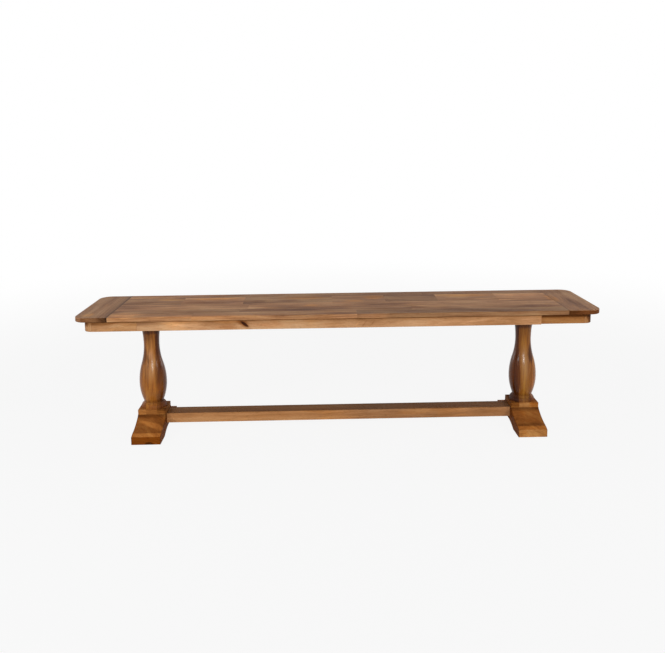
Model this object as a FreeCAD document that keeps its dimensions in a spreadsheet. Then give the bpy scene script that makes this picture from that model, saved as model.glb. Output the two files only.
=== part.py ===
import FreeCAD, Part
import math
import os
import re

import Sketcher

# Pedestal bench
# A seat of glued staves between two end boards stands on two turned pedestals.
# Each pedestal is a capital, a baluster, a plinth and a sledge foot.
# A stretcher joins the feet, and an apron runs round under the seat.
# Frame: X along the seat, Y towards the back, Z up, origin on the floor under the middle.

doc = FreeCAD.newDocument("pedestal_bench")

# Driving sizes in millimetres
SIZES = {
    # Seat
    "seat_length": 1798,
    "seat_depth": 350,
    "seat_height": 460,
    "top_thickness": 15,
    "end_board_width": 116,
    "end_corner_radius": 41,
    "tongue_length": 12,
    "tongue_thickness": 5,
    "tongue_stop": 12,
    "tongue_clearance": 0.3,
    # Rows of staves from the front, and the staves in each row from the left.
    # Row 4 and the longest stave of each row have no size here: they fill what is left.
    "row_1_width": 58,
    "row_1_stave_1": 283,
    "row_1_stave_2": 560,
    "row_2_width": 45,
    "row_2_stave_1": 438,
    "row_2_stave_3": 528,
    "row_3_width": 82,
    "row_3_stave_1": 463,
    "row_3_stave_2": 365,
    "row_4_stave_1": 213,
    "row_4_stave_2": 225,
    "row_4_stave_4": 195,
    "row_4_stave_5": 193,
    "row_4_stave_6": 222,
    "row_4_stave_7": 193,
    "row_5_width": 55,
    "row_5_stave_1": 363,
    "row_5_stave_3": 458,
    # Apron, bearers and batten
    "apron_height": 34,
    "apron_thickness": 20,
    "apron_side_inset": 6,
    "left_apron_inset": 33,
    "right_apron_inset": 28,
    "apron_end_thickness": 30,
    "apron_corner_radius": 28,
    "apron_return_length": 151,
    "right_return_setback": 8,
    "corner_block_leg": 50,
    "corner_block_recess": 4,
    "bearer_width": 90,
    "batten_width": 60,
    # Pedestals: heights on the turning count from the plinth's top
    "leg_end_inset": 221,
    "block_width": 99,
    "block_depth": 89,
    "plinth_height": 17.5,
    "capital_height": 18,
    "collar_radius": 44.5,
    "collar_edge_radius": 43,
    "collar_edge_height": 12,
    "collar_roundness": 30,
    "waist_radius": 34,
    "waist_height": 22,
    "bulb_radius": 48.6,
    "bulb_height": 94,
    "neck_radius": 27.6,
    "neck_drop": 73,
    "flare_radius": 360,
    # Feet
    "foot_width": 101,
    "foot_length": 299.6,
    "foot_height": 69,
    "foot_shoulder": 3.5,
    "foot_scoop_radius": 208,
    "toe_height": 26.5,
    "toe_bevel_length": 20,
    "toe_bevel_drop": 7,
    "foot_pad_length": 72,
    "arch_rise": 18.5,
    # Stretcher
    "stretcher_depth": 58,
    "stretcher_height": 36.5,
    "stretcher_drop": 1.5,
    "tenon_length": 30,
    "tenon_depth": 40,
    "tenon_height": 24,
    "tenon_clearance": 0.2,
    "mortise_end_gap": 0.6,
    # Bolts, washers and inserts
    "bolt_radius": 4,
    "bolt_clearance": 0.3,
    "bolt_head_radius": 7.5,
    "bolt_head_height": 5.3,
    "bolt_engagement": 18,
    "washer_radius": 9,
    "washer_thickness": 1.6,
    "counterbore_radius": 12,
    "counterbore_depth": 9,
    "insert_radius": 6,
    "insert_length": 22,
    # Dowels and screws
    "dowel_radius": 4,
    "dowel_offset": 22,
    "dowel_depth": 20,
    "dowel_turning_depth": 10,
    "screw_radius": 2,
    "screw_head_radius": 4,
    "screw_head_height": 2.4,
    "seat_screw_bite": 10,
    "bearer_screw_spread": 60,
    "seat_screw_spread": 190,
    "stretcher_screw_inset": 15,
    "stretcher_screw_spread": 20,
    "stretcher_screw_recess": 1,
    "stretcher_screw_cover": 2,
    "fit_clearance": 0.15,
    "hole_end_gap": 0.3,
}

STAVES_IN_ROWS = [3, 3, 3, 7, 3]

sheet = doc.addObject("Spreadsheet::Sheet", "Sizes")
for sheet_row, (alias, number) in enumerate(SIZES.items(), 1):
    sheet.set(f"A{sheet_row}", alias)
    sheet.set(f"B{sheet_row}", str(number))
    sheet.setAlias(f"B{sheet_row}", alias)
doc.recompute()


# Expressions


def sized(text):
    """The expression with every size name pointing at its cell in the sheet."""
    return re.sub(r"\b[a-z]\w*", lambda word: cell_or_word(word.group()), text)


def cell_or_word(word):
    return f"Sizes.{word}" if word in SIZES else word


def value(text):
    return float(sheet.evalExpression(sized(text)))


def bind(thing, **expressions):
    """Bind properties to expressions, with x, y and z meaning the placement's base."""
    for name, text in expressions.items():
        path = f"Placement.Base.{name}" if name in ("x", "y", "z") else name
        thing.setExpression(path, sized(text))


SEAT_UNDERSIDE = "(seat_height - top_thickness)"
APRON_BOTTOM = f"({SEAT_UNDERSIDE} - apron_height)"
APRON_HALF_DEPTH = "(seat_depth / 2 - apron_side_inset)"
APRON_INNER_DEPTH = f"({APRON_HALF_DEPTH} - apron_thickness)"
FIELD_LENGTH = "(seat_length - 2 * end_board_width)"
LEG_X = "(seat_length / 2 - leg_end_inset)"
PLINTH_TOP = "(foot_height + plinth_height)"
CAPITAL_BOTTOM = f"({APRON_BOTTOM} - capital_height)"
TURNING_LENGTH = f"({CAPITAL_BOTTOM} - {PLINTH_TOP})"
STRETCHER_TOP = "(foot_height - stretcher_drop)"
STRETCHER_BOTTOM = f"({STRETCHER_TOP} - stretcher_height)"
STRETCHER_HALF_LENGTH = f"({LEG_X} - foot_width / 2)"
TENON_BOTTOM = f"({STRETCHER_BOTTOM} + stretcher_height / 2 - tenon_height / 2)"
FOOT_WASHER_SEAT = "(arch_rise + counterbore_depth)"
TOP_WASHER_SEAT = f"({SEAT_UNDERSIDE} - counterbore_depth)"


def apron_reach(name):
    """How far the apron's outer face lies from the middle at one end."""
    return f"(seat_length / 2 - {name}_apron_inset)"


def apron_inner_reach(name):
    return f"({apron_reach(name)} - apron_end_thickness)"


def rail_reach(name):
    """How far the long rail runs from the middle towards one end."""
    return f"({apron_inner_reach(name)} - apron_return_length)"


# Solids


def name_part(thing, label):
    thing.Label = label
    return thing


def box(label, x, y, z, length, width, height):
    """A block from its low corner, with every size an expression."""
    block = name_part(doc.addObject("Part::Box", "Block"), label)
    bind(block, x=x, y=y, z=z, Length=length, Width=width, Height=height)
    return block


def cylinder(label, x, y, z, radius, height):
    rod = name_part(doc.addObject("Part::Cylinder", "Rod"), label)
    bind(rod, x=x, y=y, z=z, Radius=radius, Height=height)
    return rod


def cone(label, x, y, z, bottom_radius, top_radius, height):
    taper = name_part(doc.addObject("Part::Cone", "Taper"), label)
    bind(taper, x=x, y=y, z=z, Radius1=bottom_radius, Radius2=top_radius, Height=height)
    return taper


def hexagon(label, x, y, z, radius, height):
    prism = name_part(doc.addObject("Part::Prism", "Hexagon"), label)
    prism.Polygon = 6
    bind(prism, x=x, y=y, z=z, Circumradius=radius, Height=height)
    return prism


def fuse(label, shapes):
    joined = name_part(doc.addObject("Part::MultiFuse", "Joined"), label)
    joined.Shapes = shapes
    return joined


def cut(label, base, tools):
    """The base with every tool cut out of it."""
    result = name_part(doc.addObject("Part::Cut", "Shaped"), label)
    result.Base = base
    result.Tool = tools[0] if len(tools) == 1 else fuse(f"{label} tools", tools)
    return result


def group(label, solids):
    """Identical pieces that share one node."""
    bundle = name_part(doc.addObject("Part::Compound", "Group"), label)
    bundle.Links = solids
    return bundle


# Sketched solids


def arc_edge(start, end, radius, centre_side):
    """The short arc from start to end, with its centre on the left or right of the way."""
    chord = end - start
    middle = (start + end) * 0.5
    rise = math.sqrt(radius**2 - (chord.Length / 2) ** 2)
    across = FreeCAD.Vector(-chord.y, chord.x, 0).normalize()
    turn = 1 if centre_side == "left" else -1
    centre = middle + across * (rise * turn)
    circle = Part.Circle(centre, FreeCAD.Vector(0, 0, 1), radius)
    first, last = (start, end) if turn == 1 else (end, start)
    angles = [math.atan2(point.y - centre.y, point.x - centre.x) for point in (first, last)]
    if angles[1] < angles[0]:
        angles[1] += 2 * math.pi
    return Part.ArcOfCircle(circle, *angles)


def fix_coordinate(sketch, kind, edge, end, text):
    """Hold one coordinate of a corner at an expression."""
    if text == "0":
        axis = -2 if kind == "DistanceX" else -1
        sketch.addConstraint(Sketcher.Constraint("PointOnObject", edge, end, axis))
        return
    index = sketch.addConstraint(Sketcher.Constraint(kind, -1, 1, edge, end, value(text)))
    sketch.setExpression(f"Constraints[{index}]", sized(text))


def outline(body, plane, corners):
    """A closed sketch through the corners. Each is x, y and, where an arc follows, its radius and side."""
    sketch = body.newObject("Sketcher::SketchObject", "Outline")
    support = [item for item in body.Origin.OriginFeatures if item.Role == plane][0]
    sketch.AttachmentSupport = (support, "")
    sketch.MapMode = "FlatFace"
    points = [FreeCAD.Vector(value(corner[0]), value(corner[1]), 0) for corner in corners]
    ends = []
    for index, corner in enumerate(corners):
        start = points[index]
        end = points[(index + 1) % len(points)]
        if len(corner) == 2:
            sketch.addGeometry(Part.LineSegment(start, end))
            ends.append((1, 2))
        else:
            radius, centre_side = corner[2:]
            sketch.addGeometry(arc_edge(start, end, value(radius), centre_side))
            ends.append((1, 2) if centre_side == "left" else (2, 1))
    for index, corner in enumerate(corners):
        following = (index + 1) % len(corners)
        join = Sketcher.Constraint("Coincident", index, ends[index][1], following, ends[following][0])
        sketch.addConstraint(join)
    for index, corner in enumerate(corners):
        fix_coordinate(sketch, "DistanceX", index, ends[index][0], corner[0])
        fix_coordinate(sketch, "DistanceY", index, ends[index][0], corner[1])
        if len(corner) > 2:
            fixed = sketch.addConstraint(Sketcher.Constraint("Radius", index, value(corner[2])))
            sketch.setExpression(f"Constraints[{fixed}]", sized(corner[2]))
    return sketch


def padded_body(label, plane, corners, thickness, symmetric=False):
    body = name_part(doc.addObject("PartDesign::Body", "Body"), label)
    pad = body.newObject("PartDesign::Pad", "Pad")
    pad.Profile = outline(body, plane, corners)
    if symmetric:
        pad.SideType = "Symmetric"
    bind(pad, Length=thickness)
    body.Tip = pad
    return body


def turned_body(label, corners):
    """A body turned round its own upright axis."""
    body = name_part(doc.addObject("PartDesign::Body", "Body"), label)
    sketch = outline(body, "XZ_Plane", corners)
    turning = body.newObject("PartDesign::Revolution", "Turning")
    turning.Profile = sketch
    turning.ReferenceAxis = (sketch, ["V_Axis"])
    turning.Angle = 360
    body.Tip = turning
    return body


def half_turn(body):
    body.Placement = FreeCAD.Placement(FreeCAD.Vector(), FreeCAD.Rotation(FreeCAD.Vector(0, 0, 1), 180))


parts = []
SIDES = {"left": -1, "right": 1}
FACES = {"front": -1, "back": 1}


# Fasteners and the holes that they need


def seat_screw_places():
    """Plan positions of the screws that hold the boards to the bearers and the batten."""
    places = []
    for face in (-1, 1):
        y = f"{face} * seat_screw_spread / 2"
        for side in (-1, 1):
            for offset in (-1, 1):
                places.append((f"{side} * {LEG_X} + {offset} * bearer_screw_spread / 2", y))
        places.append(("0", y))
    return places


def stretcher_screw_places(side):
    x = f"{side} * ({STRETCHER_HALF_LENGTH} + stretcher_screw_inset)"
    return [(x, f"{face} * stretcher_screw_spread / 2") for face in (-1, 1)]


def dowel_places(side):
    return [(f"{side} * {LEG_X}", f"{face} * dowel_offset") for face in (-1, 1)]


def screw(label, x, y, head, tip, slack="0"):
    """A countersunk screw that points up. With a slack it is the hole for that screw."""
    head_radius = f"screw_head_radius + {slack}"
    shank_radius = f"screw_radius + {slack}"
    head_part = cone(f"{label} head", x, y, head, head_radius, shank_radius, "screw_head_height")
    shank = cylinder(f"{label} shank", x, y, head, shank_radius, f"{tip} - {head}")
    return fuse(label, [head_part, shank])


def seat_screw(label, place, slack="0", end_gap="0"):
    tip = f"({SEAT_UNDERSIDE} + seat_screw_bite + {end_gap})"
    return screw(label, *place, APRON_BOTTOM, tip, slack)


def stretcher_screw(label, place, slack="0", end_gap="0"):
    head = "(arch_rise + stretcher_screw_recess)"
    tip = f"({TENON_BOTTOM} + tenon_height - stretcher_screw_cover + {end_gap})"
    return screw(label, *place, head, tip, slack)


def dowel_span(level):
    """Bottom and top of the dowels at the foot or at the top of a pedestal."""
    if level == "foot":
        return "(foot_height - dowel_depth)", f"({PLINTH_TOP} + dowel_turning_depth)"
    return f"({CAPITAL_BOTTOM} - dowel_turning_depth)", f"({APRON_BOTTOM} + dowel_depth)"


def dowel_holes(label, side, level):
    bottom, top = dowel_span(level)
    height = f"{top} - {bottom} + 2 * hole_end_gap"
    radius = "dowel_radius + fit_clearance"
    return [
        cylinder(f"{label} dowel hole", x, y, f"{bottom} - hole_end_gap", radius, height)
        for x, y in dowel_places(side)
    ]


def bolt_hole(label, side, bottom, top):
    x = f"{side} * {LEG_X}"
    return cylinder(f"{label} bolt hole", x, "0", bottom, "bolt_radius + bolt_clearance", f"{top} - {bottom}")


def make_fasteners():
    foot_bolts, top_bolts, washers, inserts, dowels, screws = [], [], [], [], [], []
    bolt_bottom = f"({FOOT_WASHER_SEAT} - washer_thickness)"
    bolt_top = f"({TOP_WASHER_SEAT} + washer_thickness)"
    for name, side in SIDES.items():
        x = f"{side} * {LEG_X}"
        head = hexagon(
            f"{name} foot bolt head", x, "0", f"{bolt_bottom} - bolt_head_height", "bolt_head_radius", "bolt_head_height"
        )
        reach = f"{PLINTH_TOP} + bolt_engagement - {bolt_bottom}"
        shank = cylinder(f"{name} foot bolt shank", x, "0", bolt_bottom, "bolt_radius", reach)
        foot_bolts.append(fuse(f"{name} foot bolt", [head, shank]))

        head = hexagon(f"{name} top bolt head", x, "0", bolt_top, "bolt_head_radius", "bolt_head_height")
        start = f"({CAPITAL_BOTTOM} - bolt_engagement)"
        shank = cylinder(f"{name} top bolt shank", x, "0", start, "bolt_radius", f"{bolt_top} - {start}")
        top_bolts.append(fuse(f"{name} top bolt", [head, shank]))

        for level, seat in (("foot", bolt_bottom), ("top", TOP_WASHER_SEAT)):
            label = f"{name} {level} washer"
            disc = cylinder(f"{label} disc", x, "0", seat, "washer_radius", "washer_thickness")
            eye = cylinder(f"{label} eye", x, "0", seat, "bolt_radius + bolt_clearance", "washer_thickness")
            washers.append(cut(label, disc, [eye]))

        for level, start in (("foot", PLINTH_TOP), ("top", f"({CAPITAL_BOTTOM} - insert_length)")):
            label = f"{name} {level} insert"
            sleeve = cylinder(f"{label} sleeve", x, "0", start, "insert_radius", "insert_length")
            thread = cylinder(f"{label} thread", x, "0", start, "bolt_radius + fit_clearance", "insert_length")
            inserts.append(cut(label, sleeve, [thread]))

        for level in ("foot", "top"):
            bottom, top = dowel_span(level)
            for place in dowel_places(side):
                dowels.append(cylinder(f"{name} {level} dowel", *place, bottom, "dowel_radius", f"{top} - {bottom}"))

        for place in stretcher_screw_places(side):
            screws.append(stretcher_screw(f"{name} stretcher screw", place))

    parts.append(group("foot_bolts", foot_bolts))
    parts.append(group("top_bolts", top_bolts))
    parts.append(group("washers", washers))
    parts.append(group("thread_inserts", inserts))
    parts.append(group("leg_dowels", dowels))
    parts.append(group("stretcher_screws", screws))
    parts.append(group("seat_screws", [seat_screw("seat screw", place) for place in seat_screw_places()]))


def screw_holes(label, places, hole):
    return [hole(f"{label} screw hole", place, "fit_clearance", "hole_end_gap") for place in places]


# Seat


def edges_of(names, total):
    """The edges of pieces laid side by side. The piece with no size of its own fills what is left."""
    filler = [name in SIZES for name in names].index(False)
    before = [" + ".join(names[:index]) or "0" for index in range(filler + 1)]
    after = [" - ".join([total] + names[index:]) for index in range(filler + 1, len(names) + 1)]
    return before + after


def stave_tongue(label, side, front, back, first_row, last_row):
    """The tongue on the outer end of a row, stopped short of the seat's edges."""
    low = f"({front}) + {'tongue_stop' if first_row else '0'}"
    high = f"({back}) - {'tongue_stop' if last_row else '0'}"
    x = f"{side} * ({FIELD_LENGTH} / 2 + tongue_length / 2) - tongue_length / 2"
    z = f"{SEAT_UNDERSIDE} + top_thickness / 2 - tongue_thickness / 2"
    y = f"{low} - seat_depth / 2"
    return box(f"{label} tongue", x, y, z, "tongue_length", f"{high} - ({low})", "tongue_thickness")


def is_under(place, left, right, front, back):
    """Whether a screw at this place reaches the board between these edges."""
    x = value(f"{place[0]} + {FIELD_LENGTH} / 2")
    y = value(f"{place[1]} + seat_depth / 2")
    margin = value("screw_radius + fit_clearance")
    inside_x = value(left) - margin < x < value(right) + margin
    return inside_x and value(front) - margin < y < value(back) + margin


def make_staves():
    row_widths = [f"row_{row + 1}_width" for row in range(len(STAVES_IN_ROWS))]
    rows = edges_of(row_widths, "seat_depth")
    for row, (front, back) in enumerate(zip(rows, rows[1:])):
        lengths = [f"row_{row + 1}_stave_{index + 1}" for index in range(STAVES_IN_ROWS[row])]
        ends = edges_of(lengths, FIELD_LENGTH)
        for index, (left, right) in enumerate(zip(ends, ends[1:])):
            label = f"row_{row + 1}_stave_{index + 1}"
            x = f"{left} - {FIELD_LENGTH} / 2"
            y = f"{front} - seat_depth / 2"
            length = f"{right} - ({left})"
            width = f"{back} - ({front})"
            board = box(f"{label} board", x, y, SEAT_UNDERSIDE, length, width, "top_thickness")
            pieces = [board]
            outer = (row == 0, row == len(rows) - 2)
            if index == 0:
                pieces.append(stave_tongue(f"{label} left", -1, front, back, *outer))
            if index == len(ends) - 2:
                pieces.append(stave_tongue(f"{label} right", 1, front, back, *outer))
            if len(pieces) > 1:
                board = fuse(f"{label} with tongue", pieces)
            places = [place for place in seat_screw_places() if is_under(place, left, right, front, back)]
            if places:
                board = cut(f"{label} bored", board, screw_holes(label, places, seat_screw))
            parts.append(name_part(board, label))


def make_end_board(name, side):
    """A cross-grained end board, rounded at its outer corners and grooved for the tongues."""
    label = f"{name}_end_board"
    radius = "end_corner_radius"
    corners = [
        (f"{FIELD_LENGTH} / 2", "-seat_depth / 2"),
        (f"seat_length / 2 - {radius}", "-seat_depth / 2", radius, "left"),
        ("seat_length / 2", f"-seat_depth / 2 + {radius}"),
        ("seat_length / 2", f"seat_depth / 2 - {radius}", radius, "left"),
        (f"seat_length / 2 - {radius}", "seat_depth / 2"),
        (f"{FIELD_LENGTH} / 2", "seat_depth / 2"),
    ]
    board = padded_body(f"{label} board", "XY_Plane", corners, "top_thickness")
    if side < 0:
        half_turn(board)
    bind(board, z=SEAT_UNDERSIDE)
    depth = "(tongue_length + mortise_end_gap)"
    reach = "(seat_depth - 2 * tongue_stop + 2 * tongue_clearance)"
    height = "(tongue_thickness + 2 * tongue_clearance)"
    groove = box(
        f"{label} groove",
        f"{side} * ({FIELD_LENGTH} / 2 + {depth} / 2) - {depth} / 2",
        f"-{reach} / 2",
        f"{SEAT_UNDERSIDE} + top_thickness / 2 - {height} / 2",
        depth,
        reach,
        height,
    )
    parts.append(cut(label, board, [groove]))


# Apron, bearers and batten


def make_apron_sides():
    rail_length = f"{rail_reach('left')} + {rail_reach('right')}"
    for face_name, face in FACES.items():
        y = f"{face} * ({APRON_HALF_DEPTH} - apron_thickness / 2) - apron_thickness / 2"
        label = f"{face_name}_apron_rail"
        x = f"-{rail_reach('left')}"
        parts.append(box(label, x, y, APRON_BOTTOM, rail_length, "apron_thickness", "apron_height"))
        for side_name, side in SIDES.items():
            middle = f"({apron_inner_reach(side_name)} - apron_return_length / 2)"
            setback = "right_return_setback" if (face, side) == (-1, 1) else "0"
            parts.append(
                box(
                    f"{side_name}_{face_name}_apron_return",
                    f"{side} * {middle} - apron_return_length / 2",
                    f"{y} + {setback}",
                    APRON_BOTTOM,
                    "apron_return_length",
                    f"apron_thickness - {setback}",
                    "apron_height",
                )
            )


def make_apron_end(name, side):
    """The cross rail at one end, with its two outer corners rounded in plan."""
    radius = "min(apron_corner_radius; apron_end_thickness - 1)"
    setback = "right_return_setback" if side > 0 else "0"
    front = f"(-{APRON_HALF_DEPTH} + {setback})"
    outer, inner = apron_reach(name), apron_inner_reach(name)
    corners = [
        (inner, front),
        (f"{outer} - {radius}", front, radius, "left"),
        (outer, f"{front} + {radius}"),
        (outer, f"{APRON_HALF_DEPTH} - {radius}", radius, "left"),
        (f"{outer} - {radius}", APRON_HALF_DEPTH),
        (inner, APRON_HALF_DEPTH),
    ]
    rail = padded_body(f"{name}_apron_end", "XY_Plane", corners, "apron_height")
    if side < 0:
        half_turn(rail)
    bind(rail, z=APRON_BOTTOM)
    parts.append(rail)


def make_corner_block(side_name, side, face_name, face):
    """A three-cornered block glued inside a corner of the apron."""
    reach = apron_inner_reach(side_name)
    x = f"{side} * {reach}"
    y = f"{face} * {APRON_INNER_DEPTH}"
    corners = [
        (x, y),
        (f"{side} * ({reach} - corner_block_leg)", y),
        (x, f"{face} * ({APRON_INNER_DEPTH} - corner_block_leg)"),
    ]
    height = "apron_height - corner_block_recess"
    block = padded_body(f"{side_name}_{face_name}_corner_block", "XY_Plane", corners, height)
    bind(block, z=f"{APRON_BOTTOM} + corner_block_recess")
    parts.append(block)


def cross_batten(label, middle, width):
    """A batten across the seat, between the two long rails."""
    x = f"{middle} - {width} / 2"
    y = f"-{APRON_INNER_DEPTH}"
    return box(f"{label} blank", x, y, APRON_BOTTOM, width, f"2 * {APRON_INNER_DEPTH}", "apron_height")


def make_bearer(name, side):
    label = f"{name}_bearer"
    x = f"{side} * {LEG_X}"
    blank = cross_batten(label, x, "bearer_width")
    recess = cylinder(f"{label} recess", x, "0", TOP_WASHER_SEAT, "counterbore_radius", "counterbore_depth")
    screws = [place for place in seat_screw_places() if place[0].startswith(f"{side} *")]
    tools = [recess, bolt_hole(label, side, APRON_BOTTOM, TOP_WASHER_SEAT)]
    tools += dowel_holes(label, side, "top")
    tools += screw_holes(label, screws, seat_screw)
    parts.append(cut(label, blank, tools))


def make_centre_batten():
    label = "centre_batten"
    screws = [place for place in seat_screw_places() if place[0] == "0"]
    parts.append(cut(label, cross_batten(label, "0", "batten_width"), screw_holes(label, screws, seat_screw)))


# Pedestals


def make_block(label, side, bottom, height, level):
    """The square block above or below a turning."""
    x = f"{side} * {LEG_X} - block_width / 2"
    blank = box(f"{label} blank", x, "-block_depth / 2", bottom, "block_width", "block_depth", height)
    tools = [bolt_hole(label, side, bottom, f"({bottom} + {height})")] + dowel_holes(label, side, level)
    parts.append(cut(label, blank, tools))


def baluster_outline():
    """Half the vase outline: collar, waist, bulb, neck and flare, with arcs that meet smoothly."""
    neck_height = f"({TURNING_LENGTH} - neck_drop)"
    swell = "(bulb_radius - waist_radius)"
    lower_rise = "(bulb_height - waist_height)"
    lower_radius = f"({swell}^2 + {lower_rise}^2) / (2 * {swell})"
    slim = "(bulb_radius - neck_radius)"
    upper_rise = f"({neck_height} - bulb_height)"
    upper_radius = f"({slim}^2 + {upper_rise}^2) / (4 * {slim})"
    top_radius = "neck_radius + flare_radius - sqrt(flare_radius^2 - neck_drop^2)"
    return [
        ("0", "0"),
        ("collar_radius", "0", "collar_roundness", "left"),
        ("collar_edge_radius", "collar_edge_height"),
        ("waist_radius", "waist_height", lower_radius, "left"),
        ("bulb_radius", "bulb_height", upper_radius, "left"),
        ("(bulb_radius + neck_radius) / 2", f"(bulb_height + {neck_height}) / 2", upper_radius, "right"),
        ("neck_radius", neck_height, "flare_radius", "right"),
        (top_radius, TURNING_LENGTH),
        ("0", TURNING_LENGTH),
    ]


def make_baluster(name, side):
    label = f"{name}_baluster"
    x = f"{side} * {LEG_X}"
    turning = turned_body(f"{label} turning", baluster_outline())
    bind(turning, x=x, z=PLINTH_TOP)
    radius = "insert_radius + fit_clearance"
    depth = "(insert_length + hole_end_gap)"
    lower = cylinder(f"{label} lower socket", x, "0", PLINTH_TOP, radius, depth)
    upper = cylinder(f"{label} upper socket", x, "0", f"{CAPITAL_BOTTOM} - {depth}", radius, depth)
    tools = [lower, upper] + dowel_holes(label, side, "foot") + dowel_holes(label, side, "top")
    parts.append(cut(label, turning, tools))


def foot_outline():
    """Side view of a foot: shoulder, scooped slope, bevel, toe, pad and arch."""
    slope_end = "(foot_length / 2 - toe_bevel_length)"
    slope_foot = "(toe_height + toe_bevel_drop)"
    shoulder = "(foot_height - foot_shoulder)"
    arch_half = "(foot_length / 2 - foot_pad_length)"
    arch_radius = f"({arch_half}^2 + arch_rise^2) / (2 * arch_rise)"
    return [
        ("block_depth / 2", "foot_height"),
        ("-block_depth / 2", "foot_height"),
        ("-block_depth / 2", shoulder, "foot_scoop_radius", "right"),
        (f"-{slope_end}", slope_foot),
        ("-foot_length / 2", "toe_height"),
        ("-foot_length / 2", "0"),
        (f"-{arch_half}", "0", arch_radius, "right"),
        (arch_half, "0"),
        ("foot_length / 2", "0"),
        ("foot_length / 2", "toe_height"),
        (slope_end, slope_foot, "foot_scoop_radius", "right"),
        ("block_depth / 2", shoulder),
    ]


def make_foot(name, side):
    label = f"{name}_foot"
    x = f"{side} * {LEG_X}"
    blank = padded_body(f"{label} blank", "YZ_Plane", foot_outline(), "foot_width", symmetric=True)
    bind(blank, x=x)
    length = "(tenon_length + mortise_end_gap)"
    width = "(tenon_depth + 2 * tenon_clearance)"
    mortise = box(
        f"{label} mortise",
        f"{side} * ({STRETCHER_HALF_LENGTH} + {length} / 2) - {length} / 2",
        f"-{width} / 2",
        f"{TENON_BOTTOM} - tenon_clearance",
        length,
        width,
        "tenon_height + 2 * tenon_clearance",
    )
    recess = cylinder(f"{label} recess", x, "0", "0", "counterbore_radius", FOOT_WASHER_SEAT)
    tools = [mortise, recess, bolt_hole(label, side, FOOT_WASHER_SEAT, "foot_height")]
    tools += dowel_holes(label, side, "foot")
    tools += screw_holes(label, stretcher_screw_places(side), stretcher_screw)
    for place in stretcher_screw_places(side):
        radius = "screw_head_radius + fit_clearance"
        tools.append(cylinder(f"{label} screw recess", *place, "0", radius, "arch_rise + stretcher_screw_recess"))
    parts.append(cut(label, blank, tools))


# Stretcher


def make_stretcher():
    pieces = [
        box(
            "stretcher bar",
            f"-{STRETCHER_HALF_LENGTH}",
            "-stretcher_depth / 2",
            STRETCHER_BOTTOM,
            f"2 * {STRETCHER_HALF_LENGTH}",
            "stretcher_depth",
            "stretcher_height",
        )
    ]
    holes = []
    for name, side in SIDES.items():
        x = f"{side} * ({STRETCHER_HALF_LENGTH} + tenon_length / 2) - tenon_length / 2"
        pieces.append(
            box(f"{name} tenon", x, "-tenon_depth / 2", TENON_BOTTOM, "tenon_length", "tenon_depth", "tenon_height")
        )
        holes += screw_holes("stretcher", stretcher_screw_places(side), stretcher_screw)
    parts.append(cut("stretcher", fuse("stretcher with tenons", pieces), holes))


# Assembly

make_staves()
make_apron_sides()
make_centre_batten()
make_stretcher()
for side_name, side in SIDES.items():
    make_end_board(side_name, side)
    make_apron_end(side_name, side)
    make_bearer(side_name, side)
    make_block(f"{side_name}_capital", side, CAPITAL_BOTTOM, "capital_height", "top")
    make_baluster(side_name, side)
    make_block(f"{side_name}_plinth", side, "foot_height", "plinth_height", "foot")
    make_foot(side_name, side)
    for face_name, face in FACES.items():
        make_corner_block(side_name, side, face_name, face)
make_fasteners()
doc.recompute()


# Checks and export


def check_model():
    for thing in doc.Objects:
        faults = [state for state in thing.State if state in ("Invalid", "Error")]
        if faults:
            raise RuntimeError(f"{thing.Label}: {faults}")
    for part in parts:
        if part.Shape.isNull() or not part.Shape.isValid():
            raise RuntimeError(f"{part.Label}: shape is not valid")


check_model()
os.makedirs("parts", exist_ok=True)
for part in parts:
    part.Shape.exportStep(f"parts/{part.Label}.step")
print(f"{len(parts)} nodes, {sum(len(part.Shape.Solids) for part in parts)} solids")
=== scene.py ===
import math

import bmesh
import bpy
from mathutils import Matrix, Vector


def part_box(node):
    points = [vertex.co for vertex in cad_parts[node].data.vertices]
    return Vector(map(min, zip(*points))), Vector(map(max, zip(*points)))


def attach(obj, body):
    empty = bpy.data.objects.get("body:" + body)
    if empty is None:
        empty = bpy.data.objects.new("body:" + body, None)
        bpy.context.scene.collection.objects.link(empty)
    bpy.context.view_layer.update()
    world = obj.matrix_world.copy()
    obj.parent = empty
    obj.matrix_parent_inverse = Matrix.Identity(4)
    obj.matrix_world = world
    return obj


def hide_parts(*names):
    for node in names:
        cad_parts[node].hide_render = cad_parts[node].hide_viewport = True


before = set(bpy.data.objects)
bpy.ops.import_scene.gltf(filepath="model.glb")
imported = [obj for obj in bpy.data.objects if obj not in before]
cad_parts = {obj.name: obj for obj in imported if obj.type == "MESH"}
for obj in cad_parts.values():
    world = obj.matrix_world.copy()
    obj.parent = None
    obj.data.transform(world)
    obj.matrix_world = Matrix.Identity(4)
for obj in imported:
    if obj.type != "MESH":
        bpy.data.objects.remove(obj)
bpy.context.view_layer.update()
scene = bpy.context.scene
MM = 0.001


def box_mm(node):
    """A node's lowest and highest corners in millimetres."""
    return tuple(Vector(corner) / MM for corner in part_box(node))


def centre_mm(node):
    low, high = box_mm(node)
    return (low + high) / 2


# Places that the looks depend on, all from the frame, in millimetres

SEAT_FRONT = box_mm("row_1_stave_1")[0].y
SEAT_BACK = box_mm("row_5_stave_1")[1].y
SEAT_UNDER, SEAT_TOP = (corner.z for corner in box_mm("right_end_board"))
FIELD_END = box_mm("right_end_board")[0].x
APRON_FRONT = box_mm("front_apron_rail")[0].y
APRON_TOP = box_mm("front_apron_rail")[1].z
LEG_X = centre_mm("right_baluster").x
PLINTH_BOTTOM = box_mm("right_plinth")[0].z
TOE_FRONT = box_mm("right_foot")[0].y
STRETCHER_TOP = box_mm("stretcher")[1].z


# Colours


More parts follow.
